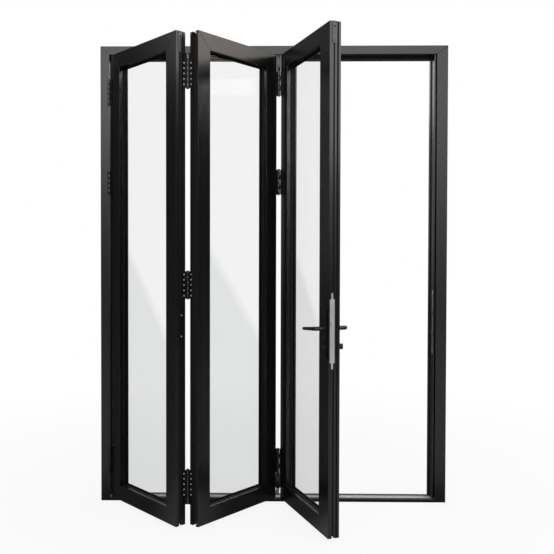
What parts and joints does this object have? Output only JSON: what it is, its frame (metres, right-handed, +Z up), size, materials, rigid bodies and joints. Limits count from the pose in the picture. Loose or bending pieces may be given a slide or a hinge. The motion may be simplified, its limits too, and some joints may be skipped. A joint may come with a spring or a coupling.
{
  "type": "folding door",
  "caption": "Black aluminium folding door with glazed leaves in an outer frame, part folded outward on edge hinges, with head carrier, foot guide, lever handles and edge lock.",
  "frame": {"origin": "middle of the underside of the threshold, halfway across the frame's width and depth", "axes": "+X to the lock side as seen from outside, +Y from outside to inside through the wall, +Z up"},
  "size_m": [1.82, 0.6269, 2.4],
  "materials": {
    "frame_black": "satin black powder coat on extruded aluminium, faintly textured",
    "leaf_black": "satin black powder coat on extruded aluminium, faintly textured",
    "hardware_black": "semi-gloss black lacquer on cast and pressed metal",
    "handle_black": "smooth semi-matt black on cast zinc",
    "satin_steel": "brushed stainless steel with fine lengthwise grain",
    "carrier_steel": "zinc plated steel, slightly dull",
    "glass_clear": "clear double glazing with a faint grey reflection"
  },
  "bodies": {
    "root": {"left_jamb": "frame_black", "right_jamb": "frame_black", "head": "frame_black", "sill": "frame_black", "guide_rail": "satin_steel", "lock_strip": "frame_black", "strike_plate": "satin_steel", "leaf1_hinge_stile": "leaf_black", "leaf1_meeting_stile": "leaf_black", "leaf1_top_rail": "leaf_black", "leaf1_bottom_rail": "leaf_black", "leaf1_glass": "glass_clear", "leaf1_beads": "leaf_black", "leaf2_meeting_stile": "leaf_black", "leaf2_carrier_stile": "leaf_black", "leaf2_top_rail": "leaf_black", "leaf2_bottom_rail": "leaf_black", "leaf2_glass": "glass_clear", "leaf2_beads": "leaf_black", "leaf3_hinge_stile": "leaf_black", "leaf3_lock_stile": "leaf_black", "leaf3_top_rail": "leaf_black", "leaf3_bottom_rail": "leaf_black", "leaf3_glass": "glass_clear", "leaf3_beads": "leaf_black", "jamb_hinges_frame": "hardware_black", "jamb_hinges_leaf": "hardware_black", "meeting_hinges_leaf1": "hardware_black", "meeting_hinges_leaf2": "hardware_black", "carrier_hinges_leaf2": "hardware_black", "carrier_hinges_leaf3": "hardware_black", "hinge_pins": "hardware_black", "carrier_bracket": "hardware_black", "top_trolley": "carrier_steel", "foot_bracket": "hardware_black", "foot_guide": "carrier_steel", "flush_bolt_plate": "hardware_black", "edge_bolt_guides": "hardware_black", "lock_faceplate": "satin_steel", "lock_bolts": "satin_steel", "outside_backplate": "handle_black", "inside_backplate": "handle_black", "outside_lever": "handle_black", "inside_lever": "handle_black", "lock_cylinder": "handle_black"}
  },
  "joints": []
}
